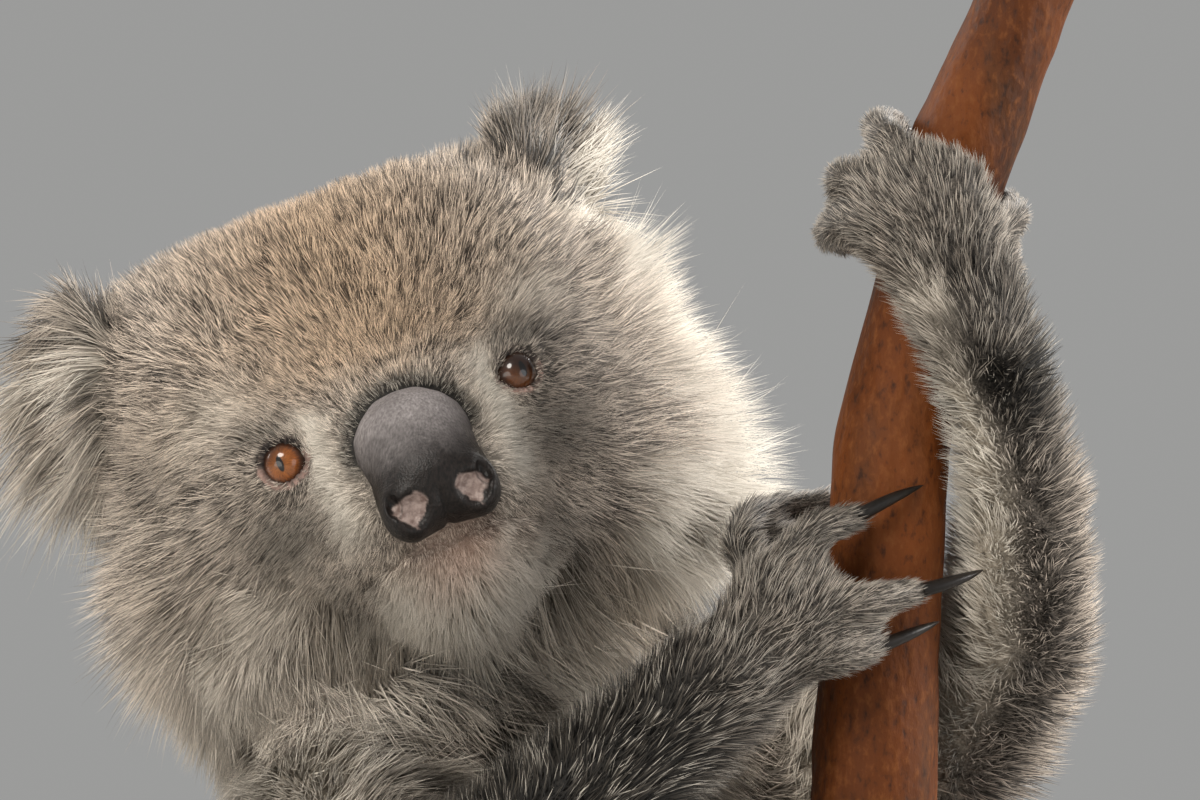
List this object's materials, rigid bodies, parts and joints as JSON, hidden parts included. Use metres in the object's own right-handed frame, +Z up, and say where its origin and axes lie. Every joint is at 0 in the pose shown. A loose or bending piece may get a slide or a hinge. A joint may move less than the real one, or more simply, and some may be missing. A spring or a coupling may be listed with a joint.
{
  "type": "koala model",
  "caption": "Life-size still model of a koala clinging to a cut length of branch, carried over a round base by short rods.",
  "frame": {"origin": "centre of the round base's underside, on the floor", "axes": "+Z up, -Y the way the animal looks, +X its own left"},
  "size_m": [0.3949, 0.37, 0.7106],
  "materials": {
    "grey_coat": "dense soft fur, ash grey with a brown cast on the crown and back",
    "pale_coat": "long loose cream-white fur of the ear fringes, throat and chest",
    "dark_coat": "short dark charcoal fur with pale tips, on the limbs",
    "eye": "amber brown iris with a small dark upright pupil under a wet clear front",
    "nose": "dark grey naked leathery skin, finely grained",
    "claw": "smooth horn, near black",
    "bark": "smooth red-brown bark with fine pale flecks, sawn ends",
    "stand_base": "dark satin lacquered board",
    "stand_rod": "dark grey painted steel rod"
  },
  "bodies": {
    "root": {"branch": "bark", "stand_base": "stand_base", "stand_rod_branch": "stand_rod", "stand_rod_rump": "stand_rod", "eye_right": "eye", "eye_left": "eye", "nose": "nose", "claw_hand_right_1": "claw", "claw_hand_right_2": "claw", "claw_hand_right_3": "claw", "claw_hand_right_4": "claw", "claw_hand_right_5": "claw", "claw_foot_right_2": "claw", "claw_foot_right_3": "claw", "claw_foot_right_4": "claw", "claw_hand_left_1": "claw", "claw_hand_left_2": "claw", "claw_hand_left_3": "claw", "claw_hand_left_4": "claw", "claw_hand_left_5": "claw", "claw_foot_left_2": "claw", "claw_foot_left_3": "claw", "claw_foot_left_4": "claw", "palm_right": "dark_coat", "foot_right": "dark_coat", "finger_right_1": "dark_coat", "finger_right_2": "dark_coat", "finger_right_3": "dark_coat", "finger_right_4": "dark_coat", "finger_right_5": "dark_coat", "toe_right_1": "dark_coat", "toe_right_2": "dark_coat", "toe_right_3": "dark_coat", "toe_right_4": "dark_coat", "forearm_right": "dark_coat", "upper_arm_right": "dark_coat", "shank_right": "grey_coat", "thigh_right": "grey_coat", "palm_left": "dark_coat", "foot_left": "dark_coat", "finger_left_1": "dark_coat", "finger_left_2": "dark_coat", "finger_left_3": "dark_coat", "finger_left_4": "dark_coat", "finger_left_5": "dark_coat", "toe_left_1": "dark_coat", "toe_left_2": "dark_coat", "toe_left_3": "dark_coat", "toe_left_4": "dark_coat", "forearm_left": "dark_coat", "upper_arm_left": "dark_coat", "shank_left": "grey_coat", "thigh_left": "grey_coat", "neck": "pale_coat", "torso": "grey_coat", "head": "grey_coat", "ear_right": "pale_coat", "ear_left": "pale_coat"}
  },
  "joints": []
}
